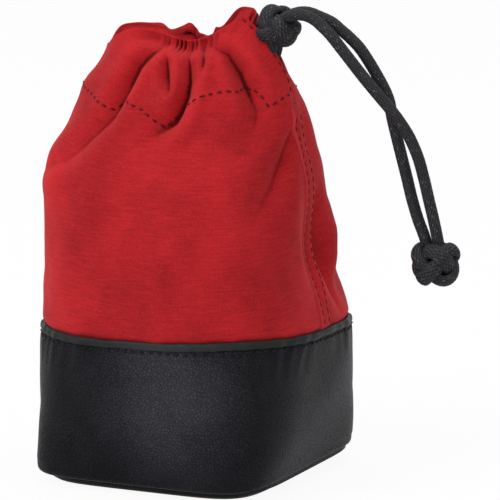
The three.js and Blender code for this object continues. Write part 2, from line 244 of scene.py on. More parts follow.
def wavy(points, size, depth, seed):
    """Slow uneven swell of hand-sewn work, as a distance for each point."""
    flat = points.reshape(-1, 3)
    out = [noise.noise(Vector((p[0] / size + seed, p[1] / size, p[2] / size))) for p in flat]
    return depth * np.array(out).reshape(points.shape[:-1])


def pucker(turn, z):
    """Small gathers that the seam at the rim draws in the leather."""
    near = ease(z, 36, 49)
    return near * (0.22 * np.sin(turn * 46 + 2 * np.sin(turn * 5)) + 0.2 * np.sin(turn * 23 + 1.0))


def rim_wave(turn, z):
    """The rim stands a little higher along the front and its right corner, and lower at the far corner."""
    high = 2.3 * np.exp((np.cos(turn - 5.55) - 1) / 0.24) + 1.25 * np.exp((np.cos(turn - 4.9) - 1) / 0.8)
    return (high - 1.3 * np.exp((np.cos(turn - 0.785) - 1) / 0.2)) * ease(z, 18, 50)


# Below the foot the plan stays the same and the edge turns under, as (height, inset).
FOOT = 7
FOOT_EDGE = [(3.3, 3.4), (3.35, 2.2), (3.6, 1.15), (4.1, 0.5), (4.9, 0.12), (5.9, 0.0)]
WALL_SOFTEN = 1.4
# Size, depth and seed of the swell that the wall and its edge share.
SWELL = (26, 0.9, 3.1)
foot_heights, foot_insets = zip(*FOOT_EDGE)
upper_heights = np.linspace(7.2, 49.5, 44)
wall_heights = np.concatenate([foot_heights, upper_heights])
under = np.concatenate([foot_insets, 0 * upper_heights])
T, Z = np.meshgrid(turns, wall_heights)
wall_outside = round_pouch(T, np.maximum(Z, FOOT), inset=under[:, None], soften=WALL_SOFTEN)
wall_outside[..., 2] = Z
wall_normal = facing(wall_outside, True)
swell = wavy(wall_outside, *SWELL) * ease(Z, 5, 14) + pucker(T, Z) - 0.2 * ease(Z, 47, 49.5)
wall_outside = wall_outside + wall_normal * swell[..., None]
wall_outside[..., 2] += rim_wave(T, Z) + 2.2 * np.maximum(0, np.cos(T)) ** 2 * (1 - ease(Z, 3.5, 16))
inner_heights = np.array([49.4, 30, 12, 4.2])
Ti, Zi = np.meshgrid(turns, inner_heights)
wall_inside = round_pouch(Ti, np.maximum(Zi, FOOT), inset=1.6, soften=WALL_SOFTEN)
wall_inside[..., 2] = Zi + rim_wave(Ti, Zi)
wall_rows = np.concatenate([wall_outside, wall_inside])
wall_faces = loop_faces(len(wall_rows), AROUND)
piece("leather_wall_shell", wall_rows, wall_faces, leather, "pouch", ["leather_wall"])

# Bottom panel of the base: a square of the same leather, turned up a little at its edge and sewn to the
# foot of the wall. It shows as a dark strip under the wall and the pouch stands on it.
# Height and inset of each row, from the hidden upper edge down to the flat.
SOLE_EDGE = [(8, 0.0), (3.6, 0.1), (2.4, 0.5), (1.3, 1.2), (0.5, 2.3), (0.12, 3.6), (0.0, 5.0), (0.0, 20.0)]
SOLE_INSET = 3.0
SOLE_LEAN = 1.5
sole_rows = []
for height, inset in SOLE_EDGE:
    ring = round_pouch(turns, np.full(AROUND, 4.0), inset=SOLE_INSET + inset, soften=0.01)
    ring[:, 0] -= SOLE_LEAN
    ring[:, 2] = height
    sole_rows.append(ring)
sole_rows = np.array(sole_rows)
sole_faces = [tuple(reversed(f)) for f in grid_faces(len(sole_rows), AROUND, True)]
hub = len(sole_rows) * AROUND
sole_points = np.concatenate([sole_rows.reshape(-1, 3), [[0, 0, 0], [0, 0, 5.2]]])
last = hub - AROUND
for i in range(AROUND):
    j = (i + 1) % AROUND
    sole_faces.append((last + j, last + i, hub))
    sole_faces.append((i, j, hub + 1))
# Painted shade: the sole's leather is a darker copy of the wall's, for the shadow under the wall.
shaded_sole_leather = leather_finish("shaded_sole_leather", srgb(16, 16, 19), srgb(28, 27, 31), 0.4)
piece("bottom_panel", sole_points, sole_faces, shaded_sole_leather, "pouch", ["base_bottom"])

# Turned edge at the top of the wall: a narrow band of leather folded over the raw edge and sewn through
# leather and cloth by one row of black thread below it.
# Height of each row and how far it stands out.
BINDING_PROFILE = [(49.3, -0.3), (49.45, 0.1), (49.8, 0.28), (50.6, 0.34), (51.3, 0.26), (51.75, 0.0),
                   (52.0, -0.45), (51.9, -0.9), (51.5, -1.3), (49, -1.5), (48.2, -1.5)]
binding_rows = []
for height, proud in BINDING_PROFILE:
    ring = round_pouch(turns, np.full(AROUND, height), soften=WALL_SOFTEN)
    out = ring[:, :2] / np.linalg.norm(ring[:, :2], axis=1, keepdims=True)
    ripple = pucker(turns, np.full(AROUND, height)) + wavy(ring, *SWELL)
    ring[:, :2] += out * (proud + ripple)[:, None]
    ring[:, 2] += rim_wave(turns, height) + 0.08 * np.sin(turns * 23 + 0.6) + 0.15 * np.sin(turns * 5 + 1.2)
    binding_rows.append(ring)
binding_rows = np.array(binding_rows)
binding_faces = loop_faces(len(binding_rows), AROUND)
edge_leather = leather_finish("edge_leather", srgb(32, 35, 35), srgb(56, 60, 60), 0.3)
piece("turned_edge", binding_rows, binding_faces, edge_leather, "pouch", ["edge_binding"])


def travelled(points):
    """Distance along a line at each of its points."""
    return np.concatenate([[0], np.cumsum(np.linalg.norm(np.diff(points, axis=0), axis=1))])


def at_distance(points, places):
    """Points of a line at distances along it."""
    total = travelled(points)
    return np.stack([np.interp(places, total, points[:, k]) for k in range(3)], axis=1)


# Places along one stitch, the rows' usual spacing and length, and the reach over which a heading is taken.
THREAD_SIDES = 6
ARCH = (-0.5, -0.38, -0.15, 0.15, 0.38, 0.5)
STITCH_STEP = 3.1
STITCH_LENGTH = 2.0
HEADING_REACH = 0.3


def stitches(rows, length, thick):
    """Short thread arches, each pulled into the surface at both ends. Rows are (points, normals, spacing)."""
    points, faces = [], []
    for line, normals, spacing in rows:
        places = np.arange(spacing / 2, travelled(line)[-1], spacing)
        middle = at_distance(line, places)
        heading = at_distance(line, places + HEADING_REACH) - at_distance(line, places - HEADING_REACH)
        heading /= np.linalg.norm(heading, axis=1, keepdims=True)
        nearest = [int(np.argmin(np.linalg.norm(line - m, axis=1))) for m in middle]
        for m, h, k in zip(middle, heading, nearest):
            n = np.asarray(normals[k], float)
            n = n - h * n.dot(h)
            n /= np.linalg.norm(n)
            b = np.cross(h, n)
            start = len(points)
            for place in ARCH:
                from_middle = abs(place) / 0.5
                lift = thick * (0.2 - 0.9 * from_middle ** 4)
                size = thick * (1 - 0.35 * from_middle ** 2)
                centre = m + h * place * length + n * lift
                for a in range(THREAD_SIDES):
                    angle = math.tau * a / THREAD_SIDES
                    points.append(centre + (b * math.cos(angle) * 1.15 + n * math.sin(angle)) * size / 2)
            faces += grid_faces(len(ARCH), THREAD_SIDES, True, start)
            end = len(points) - THREAD_SIDES
            faces.append(tuple(start + a for a in reversed(range(THREAD_SIDES))))
            faces.append(tuple(end + a for a in range(THREAD_SIDES)))
    return np.array(points), faces


def thread_finish(name, dark, light):
    """Twisted sewing thread."""
    material, paint, shader, place = finish_of(name)
    twist = paint.node("TexNoise", Vector=place, Scale=2400.0, Detail=2.0)
    bump = paint.node("Bump", Strength=0.4, Distance=0.0001, Height=twist)
    feed(paint, shader, Base_Color=twist.between(0.3, 0.7).blend(dark, light), Roughness=0.6 + twist * 0.2,
         Normal=bump, Specular_IOR_Level=0.2)
    return material


black_thread = thread_finish("black_thread", srgb(6, 6, 7), srgb(16, 16, 18))
SEWN_HEIGHT = 48.7
row = int(np.argmin(np.abs(wall_heights - SEWN_HEIGHT)))
all_round = np.arange(AROUND + 1) % AROUND
wall_line = wall_outside[row][all_round]
wall_turned = facing(wall_outside, True)[row][all_round]
points, faces = stitches([(wall_line, wall_turned, STITCH_STEP)], STITCH_LENGTH, 0.75)
piece("edge_stitches", points, faces, black_thread, "pouch")

# Stiffening of the base: a board on the bottom panel keeps it flat, a foam pad lies on the board, and a
# ring of foam keeps the leather wall upright. All three are sewn in behind the lining.
board_finish, paint, shader, place = finish_of("grey_board")
fibres = paint.node("TexNoise", Vector=place, Scale=300.0, Detail=5.0)
feed(paint, shader, Base_Color=fibres.between(0.3, 0.7).blend(srgb(48, 47, 48), srgb(66, 65, 64)),
     Roughness=0.75 + fibres * 0.15, Normal=paint.node("Bump", Strength=0.3, Distance=0.0002, Height=fibres))
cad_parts["bottom_board"].data.materials.clear()
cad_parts["bottom_board"].data.materials.append(board_finish)

foam_finish, paint, shader, place = finish_of("open_foam")
bubbles = paint.node("TexVoronoi", Vector=place, Scale=1600.0)
# Painted shade: the foam's pores are darker than the walls between them.
feed(paint, shader, Base_Color=bubbles.between(0.0, 0.8).blend(srgb(78, 80, 84), srgb(122, 124, 128)),
     Roughness=0.92, Normal=paint.node("Bump", Strength=0.5, Distance=0.0003, Height=bubbles))
COARSE = AROUND // 2
coarse_turns = turns[::2]
PAD_EDGE = [(0, 30), (0, 6), (0.04, 1.4), (0.2, 0.35), (0.5, 0.0), (0.8, 0.35), (0.96, 1.4), (1, 6), (1, 30)]


def pad_between(low, high, inset):
    """A flat pad with rounded edges. Each row of its edge is (share of the height, pull inwards)."""
    rows = []
    middle = (low + high) / 2
    for share, pull in PAD_EDGE:
        ring = round_pouch(coarse_turns, np.full(COARSE, middle), inset=inset + pull, soften=0.3)
        ring[:, 2] = low + (high - low) * share
        rows.append(ring)
    rows = np.array(rows)
    faces = grid_faces(len(rows), COARSE, True)
    hub = len(rows) * COARSE
    top = hub - COARSE
    for i in range(COARSE):
        j = (i + 1) % COARSE
        faces.append((j, i, hub))
        faces.append((top + i, top + j, hub + 1))
    return np.concatenate([rows.reshape(-1, 3), [[0, 0, low], [0, 0, high]]]), faces


points, faces = pad_between(7.1, 10.1, 5.2)
bottom_pad = piece("bottom_pad", points, faces, foam_finish, "pouch", ["bottom_foam"])

FOAM_OUTSIDE = 1.9
FOAM_INSIDE = 4.9
ring_heights = np.array([7.1, 7.6, 12, 20, 28, 36, 39.2, 39.7])
rounding = np.array([0.5, 0.1, 0, 0, 0, 0, 0.1, 0.5])[:, None]
T, Z = np.meshgrid(coarse_turns, ring_heights)
ring_outside = round_pouch(T, Z, inset=FOAM_OUTSIDE + rounding, soften=WALL_SOFTEN)
ring_inside = round_pouch(T[::-1], Z[::-1], inset=FOAM_INSIDE - rounding[::-1], soften=WALL_SOFTEN)
ring_rows = np.concatenate([ring_outside, ring_inside])
ring_faces = loop_faces(len(ring_rows), COARSE)
wall_pad = piece("wall_pad", ring_rows, ring_faces, foam_finish, "pouch", ["wall_foam"])

# Lining: a soft dark knit that faces the lens. Its floor lies on the pad, and its wall runs up inside the
# foam and the cloth to the hem, where it is caught in the casing's stitch row.
lining_finish, paint, shader, place = finish_of("soft_lining")
nap = paint.node("TexNoise", Vector=place, Scale=1500.0, Detail=3.0)
patchy = paint.node("TexNoise", Vector=place, Scale=70.0, Detail=3.0)
mottled = (nap * 0.5 + patchy * 0.5).between(0.3, 0.7)
feed(paint, shader, Base_Color=mottled.blend(srgb(40, 39, 43), srgb(62, 61, 66)),
     Roughness=0.85 + nap * 0.1, Sheen_Weight=0.3,
     Normal=paint.node("Bump", Strength=0.5, Distance=0.0003, Height=nap))
points, faces = pad_between(10.4, 11.0, 6.1)
floor_lining = piece("lining_floor_panel", points, faces, lining_finish, "pouch", ["lining_floor"])


def hump(x, middle, reach, power=2):
    """1 at the middle, and falling away to nothing past the reach on either side."""
    return np.exp(-((x - middle) / reach) ** power)


def cloth_inset(z):
    """How far the cloth is set in behind the leather's edge."""
    return 1.5 * (1 - ease(z, RIM - 1.5, RIM + 2))


FOAM_BACK = 5.2
LINING_THICK = 0.5
T, Z = np.meshgrid(coarse_turns, np.linspace(10.6, 124.0, 44))
behind = FOAM_BACK + (cloth_inset(Z) + 1.1 - FOAM_BACK) * np.clip((Z - 40) / 12, 0, 1)
# It keeps clear of the folds of the cloth, most of all beside the right seam.
tucked = 8 * hump(np.angle(np.exp(1j * (T - 0.1))), 0, 0.42) * hump(Z, 79, 20, 4)
clear = 0.9 + 1.6 * ease(Z, 56, 70) + 5.5 * ease(Z, 92, 112) + tucked
lining_grid = round_pouch(T, Z, inset=behind + clear, soften=2.0)
lining_normal = facing(lining_grid, True)
lining_grid = lining_grid - lining_normal * np.abs(wavy(lining_grid, 14, 1.6, 8.0))[..., None]
lining_skin = lining_grid + lining_normal * LINING_THICK
lining_rows = np.concatenate([lining_skin, lining_grid[::-1]])
lining_faces = loop_faces(len(lining_rows), COARSE)
wall_lining = piece("lining_wall_panel", lining_rows, lining_faces, lining_finish, "pouch",
                    ["lining_wall"])

# Cloth body with its casing: two panels of red woven cloth, front and back, each cut in one piece with the
# turned hem that holds the cord. The drawn cord gathers them into deep folds above the shoulder.
COLUMNS = 190
BODY_ROWS = 96
HEM_ROWS = 56
CLOTH = 0.8
TURNED_FROM = BODY_ROWS - 6
ROUND_RIM = 8
CORD_HEIGHT = 0.93


def rim_height(turn, side):
    """The rim dips at the left seam and rises to a corner at the slit."""
    c = np.cos(turn)
    if side == "back":
        ruffle = 4.0 * hump(c, -0.1, 0.17) - hump(c, -0.34, 0.1)
        corner = 3.6 * ease(c, 0.14, 0.42) + 6.6 * ease(c, 0.44, 0.72)
        return 147.1 + corner + 0.4 * ease(-c, 0.5, 0.8) - 5.5 * np.maximum(0, -c) ** 26 + ruffle
    return 149 + 17 * np.maximum(0, c) ** 4 - 7 * np.maximum(0, -c) ** 3 + 2.4 * hump(c, -0.35, 0.3)


SEAM_TUCKS = {
    # Folds beside the right seam: (distance from the seam, z, depth, half width).
    "front": [[(2, 121, 0.5, 1.4), (6.4, 116.6, 1.6, 1.8), (10, 112, 2.4, 2.4), (14, 107.8, 3.2, 3.4),
               (17.4, 104, 3.4, 4.2), (22.4, 99, 3.0, 5.0), (26, 94.6, 1.5, 5.5), (30, 88, 0.2, 6.0)]],
    "back": [[(5.5, 100, 0.2, 2.4), (7.5, 90, 4.0, 3.6), (9.5, 80, 7.0, 4.4), (10.5, 72, 6.6, 4.2),
              (12, 64, 2.6, 3.6), (14, 57, 0.4, 2.6)]],
}
FOLDS = {
    # Each fold is a line of (x, z, depth, half width), in mm, seen from the front.
    "front": [
        [(-47, 100, 0.0, 3.0), (-41, 104, 1.6, 2.6), (-30, 112, 2.0, 2.8), (-20, 124, 3.6, 2.8),
         (-16, 133, 5.0, 2.6), (-13, 140, 4.2, 2.2), (-7, 145.5, 1.6, 1.6)],
        [(-14, 114, 0.3, 6.0), (-7, 116.5, 0.9, 5.0), (-2.8, 119.5, 1.8, 4.0), (0.5, 122.2, 3.6, 3.0),
         (4, 124.8, 5.6, 2.6), (5.2, 128, 6.8, 2.4), (6.2, 132, 6.6, 2.2), (6.2, 136.5, 5.4, 2.0),
         (5.1, 141.2, 3.4, 1.7), (3.5, 145.5, 1.4, 1.3)],
        [(-3.5, 144.5, 0.8, 1.0), (-2.7, 141.5, 2.2, 1.3), (-1.7, 137.5, 3.6, 1.6), (0.2, 133.5, 3.0, 1.5),
         (1.5, 130.5, 0.5, 1.2)],
        [(25, 108, 0.0, 6.0), (29, 120, 1.0, 4.0), (28.5, 127, 3.0, 2.6), (25.5, 133, 5.6, 2.3),
         (21.5, 139.5, 6.2, 2.2), (16.5, 145, 3.6, 1.8), (10, 148, 1.0, 1.4)],
        [(9.8, 138, 0.2, 0.8), (9.5, 142.5, 1.5, 0.8), (8.4, 146.5, 1.2, 0.8)],
    ],
    "back": [
        [(-34, 114, 0.3, 3.0), (-26, 126, 2.6, 2.8), (-20, 136, 4.4, 2.4), (-15, 145, 1.8, 1.8)],
        [(-14, 108, 0.2, 5.0), (-11, 124, 3.4, 2.8), (-7, 136, 5.8, 2.3), (-5, 145, 2.0, 1.6)],
        [(6, 112, 0.2, 4.4), (6, 126, 3.0, 2.6), (4, 137, 5.4, 2.2), (3, 146, 1.8, 1.6)],
        [(22, 114, 0.2, 4.0), (20, 128, 3.0, 2.6), (16, 139, 5.0, 2.2), (11, 147, 1.8, 1.8)],
        [(-1, 132, 0.2, 1.2), (-1, 139, 1.5, 1.1), (-1, 145, 1.2, 0.9)],
        [(10, 134, 0.2, 1.2), (9, 141, 1.4, 1.1), (7, 146, 1.2, 0.9)],
    ],
}


def fold_depth(x, z, lines):
    """How far the cloth goes in, and beside it out, along fold lines."""
    total = np.zeros_like(x)
    for line in lines:
        line = np.array(line, float)
        best = np.full(x.shape, 1e9)
        depth = np.zeros_like(x)
        width = np.ones_like(x)
        for p, q in zip(line[:-1], line[1:]):
            d = q[:2] - p[:2]
            t = np.clip(((x - p[0]) * d[0] + (z - p[1]) * d[1]) / d.dot(d), 0, 1)
            away = np.hypot(x - p[0] - t * d[0], z - p[1] - t * d[1])
            closer = away < best
            best = np.where(closer, away, best)
            depth = np.where(closer, p[2] + t * (q[2] - p[2]), depth)
            width = np.where(closer, p[3] + t * (q[3] - p[3]), width)
        share = best / width
        valley = 0.6 * np.exp(-share ** 2) + 0.4 * np.exp(-1.7 * share)
        ridge = 0.22 * hump(share, 2.3, 1.05)
        total += depth * (ridge - valley)
    return total


def cloth_half(side):
    """Outer and inner grids of one half, rows from inside the leather up to the rim, in mm."""
    place = np.linspace(0, 1, COLUMNS)
    body_z = np.linspace(45.5, HEM, BODY_ROWS, endpoint=False)
    share = np.linspace(0, 1, HEM_ROWS)
    P, B = np.meshgrid(place, body_z)
    C, S = np.meshgrid(place, share)
    edge = 0.012
    slit = edge + 0.51 * np.clip((S - 0.25) / 0.75, 0, 1) ** 0.85
    body_turn = np.pi + edge + P * (np.pi - 2 * edge)
    hem_turn = np.pi + edge * (1 - 0.75 * ease(S, 0, 0.1)) + C * (np.pi - edge - slit)
    wave = rim_wave(body_turn if side == "front" else -body_turn, RIM)
    body = round_pouch(body_turn, B, inset=cloth_inset(B - wave), soften=4.5)
    hem = round_pouch(hem_turn, HEM + 21 * S, soften=4.5)
    hem[..., 2] = HEM + S * (rim_height(hem_turn, side) - HEM)
    hem[..., 2] -= 1.6 * S * ease(C, 0.955, 1.0) ** 2
    base = np.concatenate([body, hem])
    upward = np.concatenate([np.zeros_like(B), S])
    normal = facing(base, False)
    x, z = base[..., 0], base[..., 2]
    beside = np.abs(base[..., 1])
    middle = np.sin(np.concatenate([P, C]) * np.pi)
    push = fold_depth(x, z, FOLDS[side]) * np.minimum(1, middle * 6)
    # The drawn cord pulls the cloth in along a line below the rim, and the rim stands out above it as a frill.
    reach = np.where(upward < CORD_HEIGHT, 0.12, 0.2)
    pull = -6.8 * hump(x, -1, 13, 4) * hump(upward, CORD_HEIGHT, reach) * (upward > 0)
    gathered = hump(x, 2, 10, 4)
    rate = 1.0 if side == "front" else 0.62
    frill = np.sin(rate * (2.3 * x + 2.2 * np.sin(x * 0.55 + 0.4))) + 0.5 * np.sin(rate * (3.9 * x + 1.1))
    frill = (0.45 + 0.25 * np.sin(0.9 * x + 2)) * rate ** 2 * frill * gathered * ease(upward, 0.7, 0.95)
    # The casing is fullest over the hem, its left corner is drawn in, and the left shoulder bulges.
    full = 1.5 * hump(z, 131, 8) * ease(x, -32, -8) * np.minimum(1, middle * 2.5)
    ear = (-2.2 if side == "front" else -0.4) * ease(-x, 20, 33) * ease(upward, 0.2, 0.8)
    ear = ear * np.minimum(1, middle * 4)
    shoulder = (2.2 * hump(z, 103, 9) + 0.8 * hump(z, 86, 11)) * ease(-x, 30, 44)
    free = ease(z, 53, 64)
    slack = wavy(base, 17, 0.8, 1.7 if side == "front" else 5.3) + wavy(base, 6, 0.25, 2.9)
    shift = push + pull + frill + full + ear + shoulder + slack * free * np.minimum(1, middle * 5)
    # The right seam draws the cloth in, and the back panel is notched below and swells above beside it.
    right = x > 15
    shift += ease(x, 20, 34) * fold_depth(beside, z, SEAM_TUCKS[side])
    shift -= right * 4.4 * hump(z, 80, 14) * hump(beside, 0, 6.5)
    if side == "back":
        notch = 2.6 * hump(z, 64, 6) + 1.3 * hump(z, 73, 8)
        shift -= right * notch * hump(beside, 23, 9)
        shift += 2.4 * hump(z, 118, 14) * ease(x, 18, 32) * ease(beside, 2, 12)
    outer = base + normal * shift[..., None]
    sleeve = 1.0 + 9.3 * np.sin(np.pi * np.clip((upward - 0.02) / 0.98, 0, 1)) ** 0.8
    inner = base + normal * np.minimum(shift - CLOTH, -sleeve)[..., None]
    inner[..., 1] += 2.4 * (1 - ease(place, 0, 0.05)) * np.sin(np.pi * upward)
    run_row = BODY_ROWS + int(0.52 * HEM_ROWS)
    run = base[run_row] - normal[run_row] * (7.8 - 4.6 * ease(place, 0.82, 1.0))[:, None]
    if side == "back":
        for grid in (outer, inner, run):
            grid[..., 1] *= -1
    return {"outer": outer, "inner": inner, "z": z, "run": run}


def cloth_rows(half):
    """One grid: up the outside, over the rim and down the inside of the casing."""
    outer, inner = half["outer"], half["inner"]
    centre = (outer[-1] + inner[-1]) / 2
    across = (outer[-1] - inner[-1]) / 2
    lift = np.array([0, 0, 1.0]) * np.linalg.norm(across, axis=1, keepdims=True)
    over = []
    for k in range(1, ROUND_RIM):
        angle = math.pi * k / ROUND_RIM
        over.append(centre + across * math.cos(angle) + lift * math.sin(angle))
    return np.concatenate([outer, np.array(over), inner[TURNED_FROM:][::-1]])


def cloth_run(grid):
    """Distance across and up the cloth at each point, in metres, for its weave."""
    steps_across = np.linalg.norm(np.diff(grid, axis=1), axis=2)
    steps_up = np.linalg.norm(np.diff(grid, axis=0), axis=2)
    across = np.pad(np.cumsum(steps_across, axis=1), ((0, 0), (1, 0)))
    across -= across[:, COLUMNS // 2][:, None]
    up = np.pad(np.cumsum(steps_up, axis=0), ((1, 0), (0, 0)))
    return np.stack([across, up, np.zeros_like(up)], axis=-1) * MM


def cloth_finish(name, dark, light, fold_shade, painted_highlight, ridges):
    """Closely woven cloth with a faint nap: fine crossing threads, cloudy dye, painted shade in the folds and, on a
    seam, a painted highlight along its edges."""
    material, paint, shader, place = finish_of(name)
    run = paint.node("Attribute", {"attribute_name": "run"}, out=1)
    warp = paint.node("TexWave", {"bands_direction": "X"}, Vector=run, Scale=520.0, Distortion=1.2, Detail=1.0)
    weft = paint.node("TexWave", {"bands_direction": "Y"}, Vector=run, Scale=520.0, Distortion=1.2, Detail=1.0)
    weave = warp * weft
    fluff = paint.node("TexNoise", Vector=place, Scale=1300.0, Detail=3.0)
    cloudy = paint.node("TexNoise", Vector=place, Scale=38.0, Detail=4.0)
    stretched = paint.node("VectorMath", {"operation": "MULTIPLY"}, i0=run, i1=(140.0, 1500.0, 1.0))
    slubs = paint.node("TexNoise", Vector=stretched, Scale=1.0, Detail=3.0)
    hollow = paint.node("NewGeometry", out=7)
    tone = (cloudy * 0.45 + slubs * 0.25 + fluff * 0.25 + weave * 0.1).between(0.3, 0.72)
    # Painted shade: the colour darkens where the surface is hollow, in the folds.
    colour = hollow.between(0.50, 0.43).blend(tone.blend(dark, light), fold_shade)
    if ridges:
        # Painted highlight: the seam band's raised edges are paler.
        from_middle = run.toward("DOT_PRODUCT", (1.0, 0.0, 0.0))
        at_edge = (from_middle * from_middle).between((2.1 * MM) ** 2, (2.9 * MM) ** 2)
        colour = (at_edge * (cloudy * 0.4 + 0.2)).blend(colour, painted_highlight)
    bump = paint.node("Bump", Strength=0.35, Distance=0.00018, Height=weave * 0.5 + fluff * 0.5 + slubs * 0.4)
    feed(paint, shader, Base_Color=colour, Roughness=0.78 + fluff * 0.14, Normal=bump, Sheen_Weight=0.16,
         Sheen_Roughness=0.5, Specular_IOR_Level=0.12)
    shader.inputs["Sheen Tint"].default_value = srgb(255, 150, 150)
    return material


# Dark and light dye, the painted fold shade and the painted seam-edge highlight.
CLOTH_REDS = (srgb(138, 17, 23), srgb(197, 36, 42), srgb(104, 8, 13), srgb(212, 72, 78))
red_cloth = cloth_finish("red_cloth", *CLOTH_REDS, ridges=False)
halves = {}
for side in ("front", "back"):
    half = cloth_half(side)
    rows = cloth_rows(half)
    faces = grid_faces(len(rows), COLUMNS, False)
    # The casing's two ends are closed from the outer row to the inner one.
    last_row = len(rows) - 1
    for column in (0, COLUMNS - 1):
        for a in range(TURNED_FROM, len(half["outer"]) + 3):
            b = last_row - (a - TURNED_FROM)
            if b - 1 <= a + 1:
                break
            quad = tuple(r * COLUMNS + column for r in (a, a + 1, b - 1, b))
            faces.append(quad if column else quad[::-1])
    if side == "back":
        faces = [f[::-1] for f in faces]
    cloth = piece(f"{side}_cloth", rows, faces, red_cloth, None,
                  [f"{side}_panel", f"{side}_casing"], cloth_run(rows))
    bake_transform(cloth)
    half["cloth"] = cloth
    half["normal"] = facing(half["outer"], False) * (1 if side == "front" else -1)
    halves[side] = half

# Side seams: the two panels are felled together on the left and right, so a narrow flat band of doubled
# cloth runs up each side with two rows of dark red thread.
maroon_thread = thread_finish("maroon_thread", srgb(62, 4, 10), srgb(98, 12, 18))
red_thread = thread_finish("red_thread", srgb(72, 5, 10), srgb(108, 12, 18))


def column_line(half, column, low, high):
    """A line up the cloth at a column, between two heights."""
    z = half["z"][:, column]
    keep = np.where((z >= low) & (z <= high))[0]
    return half["outer"][keep, column], half["normal"][keep, column]


seam_cloth = cloth_finish("seam_cloth", *CLOTH_REDS, ridges=True)
SEAM_ACROSS = np.array([-3.1, -3.0, -2.6, -1.9, -1.0, 0.0, 1.0, 1.9, 2.6, 3.0, 3.1])
SEAM_LIFT = np.array([-0.3, 0.55, 0.8, 0.7, 0.72, 0.9, 0.72, 0.7, 0.8, 0.55, -0.3])
SEWN_COLUMNS = (3, 7)
NEAR_SEAM = 30
for name, column, sign in (("right", COLUMNS - 1, 1), ("left", 0, -1)):
    front, back = halves["front"], halves["back"]
    z = front["z"][:, column]
    keep = np.where((z > 48.5) & (z < HEM + 0.6))[0]
    strip = []
    for r in keep:
        f, b = front["outer"][r][::-sign][:NEAR_SEAM], back["outer"][r][::-sign][:NEAR_SEAM]
        ys = np.concatenate([f[::-1, 1], b[:, 1]])
        xs = np.concatenate([f[::-1, 0], b[:, 0]])
        x = np.interp(SEAM_ACROSS, ys, xs)
        flat = 1 - 0.9 * ease(f[0, 2], HEM - 4, HEM + 0.4)
        height = np.full(len(SEAM_ACROSS), f[0, 2])
        strip.append(np.stack([x + sign * SEAM_LIFT * flat, SEAM_ACROSS, height], axis=1))
    strip = np.array(strip)
    faces = grid_faces(len(strip), len(SEAM_ACROSS), False)
    if sign < 0:
        faces = [f[::-1] for f in faces]
    run = np.stack([strip[..., 1], strip[..., 2], 0 * strip[..., 2]], axis=-1) * MM
    seam = piece(f"{name}_seam_band", strip, faces, seam_cloth, "pouch", [f"{name}_seam"], run)
    lines = []
    for k in SEWN_COLUMNS:
        line = strip[6:-5, k]
        lines.append((line, np.tile([sign, 0, 0.1], (len(line), 1)), 3.0))
    points, faces = stitches(lines, 2.5, 0.42)
    piece(f"{name}_seam_stitches", points, faces, red_thread, "pouch")

# Stitch rows of the casing: one row under the cord closes the turned hem, and one beside each edge of the
# slit keeps the turned edge flat.
HEM_LINE = {
    # Places of the row below the cord, as (x, z).
    "front": [(-38, 130), (-30, 128.5), (-20, 125), (-14.7, 129.2), (-7, 127), (0.5, 121.6), (6.8, 128.8),
              (12, 132.6), (19.6, 134.1), (26.3, 133), (29.3, 131), (31, 128.3), (33.1, 129.7), (36, 132)],
    "back": [(-38, 130), (-26, 126), (-19, 131), (-11, 126.5), (-3, 132), (6, 127), (13, 133), (21, 128),
             (28, 131), (36, 132)],
}
# Columns that the row leaves out at the slit, and the slit row's columns from the edge and lowest height.
ROW_STOPS = {"front": 2, "back": 24}
SLIT_ROW = {"front": (6, 131), "back": (16, 141)}
for side in ("front", "back"):
    half = halves[side]
    want = np.array(HEM_LINE[side], float)
    line, normals = [], []
    for c in range(5, COLUMNS - ROW_STOPS[side]):
        x, z = half["outer"][:, c, 0], half["outer"][:, c, 2]
        over = z - np.interp(x, want[:, 0], want[:, 1])
        k = int(np.argmax((over[:-1] < 0) & (over[1:] >= 0) & (z[:-1] > 112)))
        t = over[k] / (over[k] - over[k + 1])
        line.append(half["outer"][k, c] * (1 - t) + half["outer"][k + 1, c] * t)
        normals.append(half["normal"][k, c])
    points, faces = stitches([(np.array(line), normals, STITCH_STEP)], STITCH_LENGTH, 0.64)
    made = piece(f"{side}_hem_stitches", points, faces, maroon_thread, None)
    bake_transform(made)
    inward, low = SLIT_ROW[side]
    line, normals = column_line(half, COLUMNS - inward, low, 157)
    points, faces = stitches([(line, normals, STITCH_STEP)], STITCH_LENGTH, 0.5)
    made = piece(f"{side}_slit_stitches", points, faces, maroon_thread, None)
    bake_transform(made)

# Cord: a round braid of dark polyester, about 4 mm thick. One length runs in each half of the casing, and
# its free end leaves at the slit, goes through the sliding knot and hangs down to the end knot.
CORD = 4.0
HELD_CORD = 3.2
CARRIERS = 12
RELIEF = 0.16
CURVE_STEPS = 24


def smooth_line(points, step):
    """A Catmull-Rom line through points, at even steps."""
    p = np.asarray(points, float)
    p = np.concatenate([[2 * p[0] - p[1]], p, [2 * p[-1] - p[-2]]])
    out = []
    for a, b, c, d in zip(p[:-3], p[1:-2], p[2:-1], p[3:]):
        square, cube = 2 * a - 5 * b + 4 * c - d, 3 * b - 3 * c + d - a
        for t in np.linspace(0, 1, CURVE_STEPS, endpoint=False):
            out.append(0.5 * (2 * b + (c - a) * t + square * t ** 2 + cube * t ** 3))
    out.append(p[-2])
    out = np.array(out)
    whole = travelled(out)[-1]
    count = max(8, int(round(whole / step)))
    return at_distance(out, np.linspace(0, whole, count + 1))


